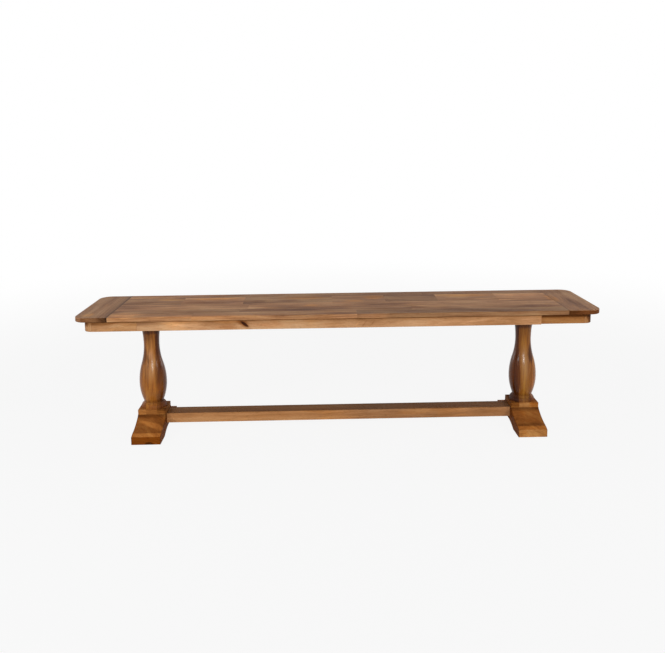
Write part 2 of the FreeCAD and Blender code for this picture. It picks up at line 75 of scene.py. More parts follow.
def linear(code):
    """A colour written as hexadecimal sRGB, as the linear colour that a shader takes."""
    channels = [int(code[i : i + 2], 16) / 255 for i in (0, 2, 4)]
    return tuple(c / 12.92 if c <= 0.04045 else ((c + 0.055) / 1.055) ** 2.4 for c in channels)


def tinted(factor):
    """A tone given as one number or as a factor for each colour."""
    return factor if isinstance(factor, tuple) else (factor, factor, factor)


def scaled(colour, factor):
    return tuple(min(c * f, 1.0) for c, f in zip(colour, tinted(factor)))


def palette(dark, middle, light):
    return {"dark": linear(dark), "middle": linear(middle), "light": linear(light)}


SEAT_WOOD = palette("82593D", "AB7B57", "CB9E75")
APRON_WOOD = palette("A5744A", "C89468", "DCB085")
LEG_WOOD = palette("6A3B10", "9C5E22", "BA7F36")
BAR_WOOD = palette("875B35", "AF7A4D", "CB9A6A")
FRAME_WOOD = palette("7A5534", "A0744A", "BC9060")
WHITE = (1.0, 1.0, 1.0)
HALVES = (0.5, 0.5, 0.5)


# Shader nodes


class Nodes:
    """A node tree, with short ways to add and join its nodes."""

    def __init__(self, tree):
        self.tree = tree

    def add(self, kind, inputs, **settings):
        node = self.tree.nodes.new(kind)
        for key, setting in settings.items():
            setattr(node, key, setting)
        for key, given in inputs.items():
            self.feed(node.inputs[key], given)
        return node

    def feed(self, socket, given):
        if isinstance(given, bpy.types.NodeSocket):
            self.tree.links.new(given, socket)
        elif socket.type == "RGBA":
            socket.default_value = (*given, 1.0)
        else:
            socket.default_value = given

    def math(self, operation, first, second=0.0, clamp=False):
        inputs = {0: first, 1: second}
        return self.add("ShaderNodeMath", inputs, operation=operation, use_clamp=clamp).outputs[0]

    def vector(self, operation, first, second=(0, 0, 0)):
        inputs = {0: first, 1: second}
        return self.add("ShaderNodeVectorMath", inputs, operation=operation).outputs[0]

    def length(self, first):
        return self.add("ShaderNodeVectorMath", {0: first}, operation="LENGTH").outputs["Value"]

    def place(self):
        return self.add("ShaderNodeTexCoord", {}).outputs["Object"]

    def parts(self, source):
        """The X, Y and Z of a vector, by name."""
        return self.add("ShaderNodeSeparateXYZ", {"Vector": source}).outputs

    def join(self, x, y, z):
        return self.add("ShaderNodeCombineXYZ", {"X": x, "Y": y, "Z": z}).outputs[0]

    def move(self, source, location=(0, 0, 0), rotation=(0, 0, 0), scale=(1, 1, 1)):
        inputs = {"Vector": source, "Location": location, "Rotation": rotation, "Scale": scale}
        return self.add("ShaderNodeMapping", inputs).outputs[0]

    def noise(self, source, detail=2.0, roughness=0.5):
        inputs = {"Vector": source, "Scale": 1.0, "Detail": detail, "Roughness": roughness}
        return self.add("ShaderNodeTexNoise", inputs).outputs

    def spread(self, source, low, high, to_low=0.0, to_high=1.0, smooth=True):
        """Source from low to high, spread over to_low to to_high."""
        kind = "SMOOTHSTEP" if smooth else "LINEAR"
        inputs = {
            "Value": source,
            "From Min": low,
            "From Max": high,
            "To Min": to_low,
            "To Max": to_high,
        }
        return self.add("ShaderNodeMapRange", inputs, interpolation_type=kind).outputs["Result"]

    def past(self, source, start, end):
        """0 before start and 1 past end, in millimetres, whichever way that is."""
        low, high = sorted((start, end))
        ends = (0.0, 1.0) if start < end else (1.0, 0.0)
        return self.spread(source, low * MM, high * MM, *ends)

    def mix(self, amount, first, second, blend="MIX"):
        node = self.tree.nodes.new("ShaderNodeMix")
        node.data_type = "RGBA"
        node.blend_type = blend
        sockets = {s.identifier: s for s in node.inputs}
        self.feed(sockets["Factor_Float"], amount)
        self.feed(sockets["A_Color"], first)
        self.feed(sockets["B_Color"], second)
        return next(s for s in node.outputs if s.identifier == "Result_Color")

    def toned(self, amount, colour, tone):
        """Colour times a tone where amount is 1, and colour as it is where amount is 0."""
        return self.mix(amount, colour, self.mix(1.0, colour, tinted(tone), "MULTIPLY"))

    def ramp(self, source, stops):
        node = self.add("ShaderNodeValToRGB", {"Fac": source})
        elements = node.color_ramp.elements
        while len(elements) < len(stops):
            elements.new(0.5)
        for element, (position, colour) in zip(elements, stops):
            element.position = position
            element.color = (*colour, 1.0)
        return node.outputs["Color"]

    def seen(self):
        """1 where the camera looks, also in a mirror or through glass, and 0 for light."""
        rays = self.add("ShaderNodeLightPath", {}).outputs
        seen = self.math("ADD", rays["Is Camera Ray"], rays["Is Glossy Ray"])
        return self.math("ADD", seen, rays["Is Transmission Ray"], clamp=True)


class Shader(Nodes):
    """One material."""

    def __init__(self, name):
        self.material = bpy.data.materials.new(name)
        self.material.use_nodes = True
        super().__init__(self.material.node_tree)
        self.surface = self.tree.nodes["Principled BSDF"]

    def finish(self, **inputs):
        """The material, with these inputs of its surface. Their names have _ for a space."""
        for name, given in inputs.items():
            self.feed(self.surface.inputs[name.replace("_", " ")], given)
        return self.material


# Wood

QUARTER = math.pi / 2
GRAIN_TURNS = {"X": (0, 0, 0), "Y": (0, 0, -QUARTER), "Z": (0, QUARTER, 0)}
SEED_STEPS = (0.731, 0.217, 0.389)
SEED_SPANS = (7.0, 5.0, 3.0)
FIRST_JUMP = 1.37
NEXT_JUMP = 0.61

# Scale, detail and roughness of each pattern in the wood
DRIFT = ((1.8, 6.0, 6.0), 2.0, 0.5)
BLOTCH = ((3.4, 26.0, 12.0), 3.0, 0.55)
STREAK = ((2.6, 110.0, 20.0), 4.0, 0.6)
THREAD = ((12.0, 720.0, 150.0), 2.0, 0.6)
PORES = ((85.0, 1000.0, 1000.0), 1.0, 0.5)
PATCH = ((4.2, 30.0, 17.0), 3.0, 0.6)
WOBBLE = ((1.3, 1.3, 1.3), 3.0, 0.6)

# Weight of each pattern in the tone
BLOTCH_WEIGHT = 1.5
STREAK_WEIGHT = 1.05
THREAD_WEIGHT = 0.75
RING_WEIGHT = 0.055

# Metres
DRIFT_WIDTH = 0.034
RING_WIDTH = 0.0065
RING_SWAY = 0.020
RELIEF_DEPTH = 0.0006

# Part of each pattern in the bump and in the roughness
THREAD_RELIEF = 0.5
PORE_RELIEF = -0.8
STREAK_RELIEF = 0.35
THREAD_DULL = 0.3
PORE_DULL = 0.12

PORE_RANGE = (0.58, 0.68)
PORE_SHARE = 0.45
PORE_TONE = 0.45
PATCH_RANGE = (0.50, 0.66)
ORANGE = (1.16, 1.05, 0.80)
TONE_STOPS = (0.0, 0.25, 0.5, 0.78, 1.0)
DARKEST = 0.78
LIGHTEST = 1.15

# A mark's rim and full tone as shares of its size, and how uneven the rim is
MARK_RIM = 1.15
MARK_CORE = 0.35
MARK_RAGGED = 0.7
FRAY = 2.6


def mark_at(place, size, tone, **more):
    """A mark for the wood. place and size, which is half of its width each way, are in millimetres.

    more may hold turn, its tilt in degrees, and its own ragged and core.
    """
    return {"at": place, "size": size, "tone": tone, **more}


def add_mark(shader, colour, place, streak, mark):
    """A soft ellipsoid inside which the wood has another tone.

    Its rim is uneven and frays along the grain.
    """
    around = shader.vector("SUBTRACT", place, tuple(Vector(mark["at"]) * MM))
    if "turn" in mark:
        around = shader.move(around, rotation=tuple(math.radians(a) for a in mark["turn"]))
    around = shader.vector("DIVIDE", around, tuple(Vector(mark["size"]) * MM))
    ragged = mark.get("ragged", MARK_RAGGED)
    scale, detail, roughness = WOBBLE
    wobble = shader.noise(shader.move(around, location=mark["at"], scale=scale), detail, roughness)
    wobble = shader.vector("SUBTRACT", wobble["Color"], HALVES)
    around = shader.vector("ADD", around, shader.vector("MULTIPLY", wobble, (ragged,) * 3))
    fray = shader.math("MULTIPLY", shader.math("SUBTRACT", streak, 0.5), FRAY * ragged)
    away = shader.math("ADD", shader.length(around), fray)
    inside = shader.spread(away, MARK_RIM, mark.get("core", MARK_CORE))
    return shader.toned(inside, colour, mark["tone"])


def grow(shader, place, grain, seed, middle, pith, laminations):
    """The patterns that a piece of wood shows, and (inside, tone) of each board glued to it."""
    local = shader.vector("SUBTRACT", place, tuple(Vector(middle) * MM))
    along = shader.move(local, rotation=GRAIN_TURNS[grain])
    shift = tuple((seed * step) % span for step, span in zip(SEED_STEPS, SEED_SPANS))

    def pattern(source, scale, detail, roughness, start=shift):
        return shader.noise(shader.move(source, location=start, scale=scale), detail, roughness)

    # Each lamination is another piece of the tree, so its pattern starts elsewhere
    boards = []
    jump = 0.0
    x = shader.parts(place)["X"]
    for number, (edge, tone) in enumerate(laminations):
        inside = shader.math("GREATER_THAN", x, edge * MM)
        step = shader.math("MULTIPLY", inside, FIRST_JUMP + NEXT_JUMP * number)
        jump = shader.math("ADD", jump, step)
        boards.append((inside, tone))

    # The fibres wander a little across their run
    drift = shader.vector("SUBTRACT", pattern(along, *DRIFT)["Color"], HALVES)
    drift = shader.vector("MULTIPLY", drift, (0.0, DRIFT_WIDTH, DRIFT_WIDTH))
    fibre = shader.vector("ADD", along, drift)

    # Growth rings lie round the pith, so the patterns are thin across them and broad along them
    across = shader.parts(fibre)
    sideways = shader.math("SUBTRACT", across["Y"], pith[0])
    upwards = shader.math("SUBTRACT", across["Z"], pith[1])
    radius = shader.length(shader.join(0.0, sideways, upwards))
    angle = shader.math("ARCTAN2", sideways, upwards)
    around = shader.math("MULTIPLY", angle, math.hypot(*pith))
    grown = shader.join(across["X"], radius, around)
    grown = shader.vector("ADD", grown, shader.join(jump, jump, 0.0))

    blotch = pattern(grown, *BLOTCH)["Fac"]
    uneven = shader.math("MULTIPLY", blotch, RING_SWAY)
    uneven = shader.math("ADD", shader.parts(grown)["Y"], uneven)
    patterns = {
        "blotch": blotch,
        "streak": pattern(grown, *STREAK)["Fac"],
        "thread": pattern(grown, *THREAD)["Fac"],
        "ring": shader.math("SINE", shader.math("MULTIPLY", uneven, math.tau / RING_WIDTH)),
        "patch": shader.spread(pattern(grown, *PATCH, start=shift[::-1])["Fac"], *PATCH_RANGE),
        "pores": shader.spread(pattern(fibre, *PORES, start=(0, 0, 0))["Fac"], *PORE_RANGE),
    }
    return patterns, boards


def wood_colour(shader, patterns, tones, shade, contrast, streaks, warmth):
    """The tone that all the patterns choose together, more orange in some patches."""
    total = 0.5
    for name, average, weight in (
        ("blotch", 0.5, BLOTCH_WEIGHT),
        ("streak", 0.5, STREAK_WEIGHT * streaks),
        ("thread", 0.5, THREAD_WEIGHT),
        ("ring", 0.0, RING_WEIGHT),
    ):
        swing = shader.math("SUBTRACT", patterns[name], average)
        total = shader.math("ADD", total, shader.math("MULTIPLY", swing, weight * contrast))
    total = shader.math("ADD", total, 0.0, clamp=True)
    dark, medium, light = (scaled(tones[key], shade) for key in ("dark", "middle", "light"))
    colours = (scaled(dark, DARKEST), dark, medium, light, scaled(light, LIGHTEST))
    colour = shader.ramp(total, list(zip(TONE_STOPS, colours)))
    return shader.toned(shader.math("MULTIPLY", patterns["patch"], warmth), colour, ORANGE)


def add_fade(shader, colour, place, axis, start, end, tone, *limits):
    """A tone that the wood has past end, within all the limits."""
    axes = shader.parts(place)
    amount = shader.past(axes[axis], start, end)
    for limit_axis, centre, half, soft in limits:
        away = shader.math("SUBTRACT", axes[limit_axis], centre * MM)
        within = shader.past(shader.math("ABSOLUTE", away), half, half - soft)
        amount = shader.math("MULTIPLY", amount, within)
    return shader.toned(amount, colour, tone)


def wood_bump(shader, patterns, relief):
    height = shader.math("MULTIPLY", patterns["thread"], THREAD_RELIEF)
    for name, part in (("pores", PORE_RELIEF), ("streak", STREAK_RELIEF)):
        height = shader.math("ADD", height, shader.math("MULTIPLY", patterns[name], part))
    inputs = {"Height": height, "Strength": relief, "Distance": RELIEF_DEPTH}
    return shader.add("ShaderNodeBump", inputs).outputs["Normal"]


def wood_roughness(shader, patterns, place, roughness, dull):
    swing = shader.math("SUBTRACT", patterns["thread"], 0.5)
    sheen = shader.math("ADD", shader.math("MULTIPLY", swing, THREAD_DULL), roughness)
    rough_pores = shader.math("MULTIPLY", patterns["pores"], PORE_DULL)
    sheen = shader.math("ADD", sheen, rough_pores, clamp=True)
    if dull:
        axis, start, end, more = dull
        worn = shader.past(shader.parts(place)[axis], start, end)
        sheen = shader.math("ADD", sheen, shader.math("MULTIPLY", worn, more), clamp=True)
    return sheen


def wood(
    name,
    tones,
    grain="X",
    seed=0,
    shade=1.0,
    contrast=1.0,
    middle=(0, 0, 0),
    pith=(0.02, -0.11),
    laminations=(),
    fades=(),
    marks=(),
    warmth=0.6,
    streaks=1.0,
    relief=0.3,
    roughness=0.5,
    specular=0.1,
    dull=None,
):
    """Procedural wood.

    tones is a palette, and shade a tone for all of it.
    grain is the axis that the wood runs along, and middle the piece's centre in millimetres.
    pith is where the heart of the tree lies, across the grain from that centre, in metres.
    laminations are (x, tone) pairs in millimetres: past x, the wood is another board.
    fades are (axis, from, to, tone) in millimetres: past to, the wood has that tone. A fade may
    end with limits (axis, centre, half, soft), which keep it within half of a centre.
    marks are places with another tone, from mark_at.
    warmth, streaks and relief are the strength of orange patches, of streaks and of the bump.
    dull is (axis, from, to, more) in millimetres: past to, the surface is that much rougher.
    """
    shader = Shader(name)
    place = shader.place()
    patterns, boards = grow(shader, place, grain, seed, middle, pith, laminations)
    colour = wood_colour(shader, patterns, tones, shade, contrast, streaks, warmth)
    for inside, tone in boards:
        colour = shader.toned(inside, colour, tone)
    for fade in fades:
        colour = add_fade(shader, colour, place, *fade)
    for mark in marks:
        colour = add_mark(shader, colour, place, patterns["streak"], mark)
    dark_pores = shader.math("MULTIPLY", patterns["pores"], PORE_SHARE)
    return shader.finish(
        Base_Color=shader.toned(dark_pores, colour, PORE_TONE),
        Roughness=wood_roughness(shader, patterns, place, roughness, dull),
        Normal=wood_bump(shader, patterns, relief),
        Specular_IOR_Level=specular,
    )


STEEL_CLOUDS = ((180, 180, 180), 4.0, 0.6)
STEEL_RANGE = (0.3, 0.7)
STEEL_TONES = (0.72, 1.1)
STEEL_ROUGHNESS = (0.38, 0.58)


def steel(name, colour):
    """Zinc-plated steel with fine wear."""
    shader = Shader(name)
    scale, detail, roughness = STEEL_CLOUDS
    cloud = shader.noise(shader.move(shader.place(), scale=scale), detail, roughness)["Fac"]
    tones = [scaled(colour, factor) for factor in STEEL_TONES]
    return shader.finish(
        Base_Color=shader.ramp(cloud, list(zip(STEEL_RANGE, tones))),
        Roughness=shader.spread(cloud, *STEEL_RANGE, *STEEL_ROUGHNESS),
        Metallic=1.0,
    )


# Pieces

MERGE_DISTANCE = 1e-6
FLAT_ANGLE = math.radians(0.5)
EDGE_ANGLE = math.radians(25)
BEVEL_SEGMENTS = 3
FACE_WEIGHT = 90


def eased(node, width, share, material):
    """A copy of a CAD piece with its edges rounded. share gives each edge's part of the width."""
    shape = bmesh.new()
    shape.from_mesh(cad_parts[node].data)
    bmesh.ops.remove_doubles(shape, verts=shape.verts, dist=MERGE_DISTANCE)
    bmesh.ops.dissolve_limit(shape, angle_limit=FLAT_ANGLE, verts=shape.verts, edges=shape.edges)
    weights = shape.edges.layers.float.new("bevel_weight_edge")
    for edge in shape.edges:
        if len(edge.link_faces) == 2 and edge.calc_face_angle(0.0) > EDGE_ANGLE:
            ends = [vertex.co / MM for vertex in edge.verts]
            edge[weights] = share(*ends)
    for face in shape.faces:
        face.smooth = True
        face.material_index = 0
    mesh = bpy.data.meshes.new(f"{node}_wood")
    shape.to_mesh(mesh)
    shape.free()
    if "custom_normal" in mesh.attributes:
        mesh.attributes.remove(mesh.attributes["custom_normal"])
    while mesh.uv_layers:
        mesh.uv_layers.remove(mesh.uv_layers[0])
    mesh.materials.append(material)
    piece = bpy.data.objects.new(f"{node}_wood", mesh)
    scene.collection.objects.link(piece)
    bevel = piece.modifiers.new("Eased edges", "BEVEL")
    bevel.width = width * MM
    bevel.segments = BEVEL_SEGMENTS
    bevel.limit_method = "WEIGHT"
    bevel.use_clamp_overlap = True
    bevel.harden_normals = False
    normals = piece.modifiers.new("Flat faces", "WEIGHTED_NORMAL")
    normals.keep_sharp = False
    normals.weight = FACE_WEIGHT
    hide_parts(node)
    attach(piece, "root")


def dress(node, material):
    """A CAD piece whose shape is right gets its material."""
    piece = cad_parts[node]
    if not piece.material_slots:
        piece.data.materials.append(material)
    for slot in piece.material_slots:
        slot.link = "OBJECT"
        slot.material = material


def every_edge(a, b):
    return 1.0


TOUCH = 0.5
ROUNDED_END = FIELD_END + 45
TOP_SHARE = 1.0
UNDER_SHARE = 0.5
JOINT_SHARE = 0.12


def seat_edge(a, b):
    """Outer edges of the seat are eased, and the joints between its boards only just."""
    high = min(a.z, b.z) > SEAT_TOP - TOUCH
    low = max(a.z, b.z) < SEAT_UNDER + TOUCH
    side = max(a.y, b.y) < SEAT_FRONT + TOUCH or min(a.y, b.y) > SEAT_BACK - TOUCH
    outer = side or min(abs(a.x), abs(b.x)) > ROUNDED_END
    if high:
        return TOP_SHARE if outer else JOINT_SHARE
    return UNDER_SHARE if low and outer else 0.0


# Seat boards

STAVE_SHADES = {
    "row_1_stave_1": 0.98,
    "row_1_stave_2": 1.0,
    "row_1_stave_3": 0.67,
    "row_2_stave_1": 0.84,
    "row_2_stave_2": 0.93,
    "row_2_stave_3": 1.03,
    "row_3_stave_1": 1.14,
    "row_3_stave_2": 1.2,
    "row_3_stave_3": 1.08,
    "row_4_stave_1": 0.95,
    "row_4_stave_2": 1.35,
    "row_4_stave_3": 0.87,
    "row_4_stave_4": 1.01,
    "row_4_stave_5": 0.74,
    "row_4_stave_6": 1.13,
    "row_4_stave_7": 1.37,
    "row_5_stave_1": 1.23,
    "row_5_stave_2": 0.84,
    "row_5_stave_3": 0.82,
}

LIGHTER = (1.25, 1.22, 1.15)
DARKER = (0.72, 0.66, 0.60)
MELLOW = (1.32, 1.20, 0.86)
TOP_MARK_DEPTH = 12.0


def top_mark(x, y, half_x, half_y, tone, depth=TOP_MARK_DEPTH, **more):
    """A mark on the seat's upper face that doesn't reach its underside."""
    return mark_at((x, y, SEAT_TOP), (half_x, half_y, depth), tone, **more)


TOP_MARKS = [
    top_mark(-735, -150, 80, 48, LIGHTER),
    top_mark(62, SEAT_FRONT, 100, 6, (1.28, 1.32, 1.40), depth=30, ragged=0.3, core=0.5),
    top_mark(118, SEAT_FRONT, 62, 6, (1.36, 1.38, 1.40), depth=30, ragged=0.3, core=0.6),
    top_mark(-735, -142, 60, 40, LIGHTER, depth=3.0),
    top_mark(-500, SEAT_FRONT + 8, 280, 18, LIGHTER, depth=3.0),
    top_mark(-130, SEAT_FRONT, 100, 10, (0.78, 0.77, 0.78)),
    top_mark(-500, SEAT_FRONT, 210, 20, LIGHTER),
    top_mark(-620, 100, 60, 20, MELLOW),
    top_mark(-450, 95, 110, 26, MELLOW),
    top_mark(-130, 90, 110, 34, MELLOW),
    top_mark(135, 85, 40, 40, MELLOW),
    top_mark(470, 92, 110, 30, MELLOW),
    top_mark(690, 85, 95, 26, LIGHTER),
    top_mark(60, 28, 46, 13, MELLOW),
    top_mark(-95, -30, 30, 12, MELLOW),
    top_mark(780, 20, 18, 60, MELLOW),
    top_mark(-735, 42, 75, 26, DARKER),
    top_mark(-515, 46, 66, 22, DARKER),
    top_mark(-290, 46, 36, 26, DARKER),
    top_mark(-180, 46, 50, 24, DARKER),
    top_mark(610, 26, 70, 14, DARKER),
    top_mark(-450, -115, 120, 24, DARKER),
    top_mark(-290, -88, 66, 18, DARKER),
    top_mark(-150, -100, 90, 18, DARKER),
    top_mark(130, -98, 90, 20, DARKER),
    top_mark(265, -88, 44, 18, DARKER),
    top_mark(400, -112, 60, 24, DARKER),
    top_mark(620, -100, 140, 18, DARKER),
]

# The front edge is more orange than the boards' faces, and the staves darken at the end boards
STAVE_FADES = [
    ("Y", SEAT_FRONT + 2.5, SEAT_FRONT + 0.5, (1.03, 1.0, 0.90)),
    ("X", FIELD_END - 1.5, FIELD_END, 0.7),
    ("X", -FIELD_END + 1.5, -FIELD_END, 0.7),
]
SEAT_FINISH = {"warmth": 0.35, "roughness": 0.55, "specular": 0.075}
SEAT_EASE = 2.0


def marks_on(node, marks):
    """Those marks that reach a node's box."""
    box = box_mm(node)

    def reaches(mark):
        spans = zip(*box, mark["at"], mark["size"])
        return all(low - half < at < high + half for low, high, at, half in spans)

    return [mark for mark in marks if reaches(mark)]


for number, (node, shade) in enumerate(STAVE_SHADES.items()):
    material = wood(
        f"{node} board",
        SEAT_WOOD,
        grain="X",
        seed=3 + 2.3 * number,
        shade=shade,
        contrast=0.85,
        streaks=0.6,
        middle=centre_mm(node),
        pith=(0.07 * math.sin(5.1 * number), -0.10 - 0.02 * math.cos(3.7 * number)),
        marks=marks_on(node, TOP_MARKS),
        fades=STAVE_FADES,
        **SEAT_FINISH,
    )
    eased(node, SEAT_EASE, seat_edge, material)

END_SHADES = {"left": 0.87, "right": 0.95}
END_GRAIN = {"left": (0.58, 0.50, 0.40), "right": (0.38, 0.24, 0.11)}
BELOW_TOP = ("Z", SEAT_UNDER, SEAT_TOP - SEAT_UNDER - 1.2, 0.1)


def long_edge(side, edge, inward):
    """End grain on a long edge of the seat. inward is 1 or -1, the way in from that edge."""
    return ("Y", edge + inward * 4, edge + inward, END_GRAIN[side])


END_FADES = {
    "left": [
        long_edge("left", SEAT_FRONT, 1),
        long_edge("left", SEAT_BACK, -1),
        ("X", -FIELD_END - 30, -FIELD_END - 10, 0.80),
        ("X", -FIELD_END - 9, -FIELD_END - 3, 0.52),
    ],
    "right": [
        long_edge("right", SEAT_BACK, -1),
        ("X", FIELD_END + 4, FIELD_END + 1, 0.62),
        ("Y", SEAT_FRONT + 36, SEAT_FRONT + 22, END_GRAIN["right"], BELOW_TOP),
    ],
}
END_MARKS = {
    "left": [top_mark(-860, -130, 26, 40, MELLOW)],
    "right": [
        top_mark(795, 15, 18, 55, MELLOW),
        top_mark(830, 130, 60, 40, DARKER),
        top_mark(850, -40, 30, 60, DARKER),
    ],
}

for number, side in enumerate(("left", "right")):
    node = f"{side}_end_board"
    material = wood(
        f"{side} end board",
        SEAT_WOOD,
        grain="Y",
        seed=61 + 7 * number,
        shade=END_SHADES[side],
        contrast=0.6,
        middle=centre_mm(node),
        pith=(0.05, -0.12),
        fades=END_FADES[side],
        marks=END_MARKS[side],
        **SEAT_FINISH,
    )
    eased(node, SEAT_EASE, seat_edge, material)


# Apron

# Painted shade under the seat's overhang, deepest on the right front corner, which stands back
OVERHANG_SHADE = ("Z", APRON_TOP - 21, APRON_TOP - 3, (0.72, 0.68, 0.60))
OVERHANG_SHADOW_LINE = ("Z", APRON_TOP - 5, APRON_TOP - 2, (0.50, 0.42, 0.34))
CORNER_SHADE = ("Z", APRON_TOP - 15, APRON_TOP - 8, (0.38, 0.30, 0.20))
DEEP_SHADE_NODES = ("right_front_apron_return", "right_apron_end")
APRON_FINISH = {"roughness": 0.6, "specular": 0.06}
APRON_EASE = 1.2
APRON_SHADES = {
    "front_apron_rail": 0.93,
    "back_apron_rail": 0.93,
    "left_front_apron_return": (0.77, 0.74, 0.69),
    "right_front_apron_return": (0.61, 0.49, 0.31),
    "left_back_apron_return": (0.78, 0.76, 0.72),
    "right_back_apron_return": (0.78, 0.74, 0.68),
    "left_apron_end": (0.76, 0.72, 0.66),
    "right_apron_end": (0.60, 0.50, 0.38),
}
FACE_MARK_DEPTH = 8.0


def face_mark(x, z, half_x, half_z, slope, tone, **more):
    """A mark on the apron's front face. slope is its tilt in degrees, up to the right."""
    size = (half_x, FACE_MARK_DEPTH, half_z)
    return mark_at((x, APRON_FRONT, z), size, tone, turn=(0, slope, 0), **more)


RAIL_MARKS = [
    face_mark(-324, 430, 32, 14, -36, (0.62, 0.46, 0.30), ragged=0.5),
    face_mark(-321, 429, 18, 6, -36, (0.14, 0.09, 0.08), ragged=0.3, core=0.6),
    face_mark(-372, 424, 40, 16, 0, (0.86, 0.82, 0.78)),
    face_mark(-529, 440, 84, 13, 0, (1.42, 1.50, 1.60), ragged=0.6),
    face_mark(-690, 440, 80, 12, 0, (0.76, 0.74, 0.76), ragged=0.4),
    face_mark(-529, 422, 90, 14, 0, (1.18, 1.22, 1.26)),
    face_mark(-378, 440, 60, 9, 0, (1.22, 1.16, 1.04)),
    face_mark(-378, 420, 64, 10, 0, (0.95, 0.86, 0.78)),
    face_mark(-227, 424, 76, 16, 0, (0.97, 0.88, 0.80)),
    face_mark(60, 424, 16, 3, 52, (1.14, 1.12, 1.08), ragged=0.3),
    face_mark(84, 424, 18, 3, 52, (0.82, 0.76, 0.70), ragged=0.3),
    face_mark(112, 426, 18, 3, 52, (0.84, 0.80, 0.74), ragged=0.3),
]

RAIL_FADES = [("X", -560, -690, 0.92), ("X", 150, 450, 1.12)]
APRON_MARKS = {
    "front_apron_rail": RAIL_MARKS,
    # The dark marks on the apron's ends are painted shade at the corners under the seat's overhang
    "left_apron_end": [mark_at((-862, -150, 442), (30, 60, 17), (0.42, 0.33, 0.24), core=0.3)],
    "right_apron_end": [mark_at((868, -148, 428), (20, 22, 26), (0.28, 0.20, 0.12), core=0.6)],
    "left_front_apron_return": [
        # The two darker marks are painted shade under the left end board; the lighter one is the
        # wood's own
        face_mark(-800, 439, 60, 9, 0, (0.78, 0.70, 0.58)),
        face_mark(-840, 440, 36, 10, 0, (0.60, 0.50, 0.40), ragged=0.4),
        face_mark(-745, 436, 50, 12, 0, (1.16, 1.16, 1.16)),
    ],
}

for number, (node, shade) in enumerate(APRON_SHADES.items()):
    # Painted shade under the overhang, with a deeper painted shadow on the right front corner
    fades = [OVERHANG_SHADE, CORNER_SHADE if node in DEEP_SHADE_NODES else OVERHANG_SHADOW_LINE]
    if node == "front_apron_rail":
        fades += RAIL_FADES
    material = wood(
        f"{node} board",
        APRON_WOOD,
        grain="Y" if node.endswith("apron_end") else "X",
        seed=80 + 3.1 * number,
        shade=shade,
        contrast=0.6,
        middle=centre_mm(node),
        pith=(-0.10, 0.03 * math.sin(2.0 * number)),
        fades=fades,
        marks=APRON_MARKS.get(node, ()),
        **APRON_FINISH,
    )
    eased(node, APRON_EASE, every_edge, material)


# Hidden frame under the seat

HIDDEN_ENDINGS = ("bearer", "batten", "corner_block")
HIDDEN_EASE = 0.8
hidden_nodes = sorted(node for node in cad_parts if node.endswith(HIDDEN_ENDINGS))

for number, node in enumerate(hidden_nodes):
    material = wood(
        f"{node} board",
        FRAME_WOOD,
        grain="Z" if "block" in node else "Y",
        seed=120 + 3.1 * number,
        middle=centre_mm(node),
    )
    eased(node, HIDDEN_EASE, every_edge, material)


# Pedestals

OUTWARD = {"left": -1, "right": 1}
GLUE_LINES = (-20.5, 17.5)
LAMINATION_TONES = {
    "left": (1.0, (0.68, 0.64, 0.56)),
    "right": ((2.1, 2.8, 4.6), (1.1, 1.05, 0.9)),
}
PART_TONES = {
    "left": {
        "capital": 1.0,
        "baluster": (1.04, 1.03, 1.05),
        "plinth": (1.22, 1.40, 2.4),
        "foot": (0.90, 0.89, 1.3),
    },
    "right": {
        "capital": 0.45,
        "baluster": (0.37, 0.28, 0.16),
        "plinth": (0.62, 0.60, 0.75),
        "foot": (0.90, 0.89, 1.3),
    },
}
PART_WOODS = {
    "capital": {"grain": "Y", "contrast": 0.6, "pith": (0.0, -0.12)},
    "baluster": {"grain": "Z", "contrast": 0.7, "pith": (0.02, 0.5), "relief": 0.1},
    "plinth": {"grain": "X", "contrast": 0.6, "pith": (0.0, -0.12)},
    "foot": {"grain": "Y", "contrast": 0.4, "pith": (0.03, -0.16)},
}
# The balusters shine, but their collars less
TURNED_FINISH = {"roughness": 0.22, "specular": 0.2, "dull": ("Z", 118, 108, 0.35)}
SAWN_FINISH = {"roughness": 0.6, "specular": 0.03}
PEDESTAL_EASE = 1.5
WAIST_Z = 110.0


def leg_x(side):
    return OUTWARD[side] * LEG_X


def leg_mark(side, dx, y, z, size, tone, **more):
    """A mark on a pedestal. dx is its distance from the leg's axis."""
    return mark_at((leg_x(side) + dx, y, z), size, tone, **more)


def laminations(side):
    """The boards that a pedestal is glued up from."""
    return [(leg_x(side) + dx, tone) for dx, tone in zip(GLUE_LINES, LAMINATION_TONES[side])]


LEG_MARKS = {
    "left": [
        # Painted highlight on the front of the bulb
        leg_mark("left", -2, -30, 240, (26, 36, 66), (1.12, 1.42, 3.1), ragged=0.3),
        # Painted shade round the waist between the bulb and the collar
        leg_mark("left", 0, 0, WAIST_Z, (70, 70, 11), 0.62, ragged=0.4),
        # Painted dark reflection on the outer flank of the neck
        leg_mark("left", -26, -26, 284, (20, 34, 42), (0.46, 0.38, 0.26), ragged=0.5, core=0.4),
        leg_mark("left", 28, -20, 163, (20, 50, 30), (1.40, 1.32, 1.05), ragged=0.3, core=0.1),
        # Painted highlight on the front of the neck
        leg_mark("left", -3, -28, 314, (17, 24, 46), (1.60, 2.0, 3.5), ragged=0.3),
    ],
    "right": [
        # Painted highlight on the front of the bulb
        leg_mark("right", -2, -30, 222, (26, 36, 76), (1.0, 1.12, 2.3), ragged=0.3),
        # Painted shade round the waist between the bulb and the collar
        leg_mark("right", 0, 0, WAIST_Z - 6, (70, 70, 20), 0.62, ragged=0.4),
        leg_mark("right", 26, -20, 164, (20, 50, 30), (1.28, 1.22, 1.05), ragged=0.3, core=0.1),
        # Painted dark reflection on the outer flank of the neck
        leg_mark("right", 21, -24, 268, (13, 40, 40), (0.36, 0.30, 0.22), ragged=0.4, core=0.6),
    ],
}
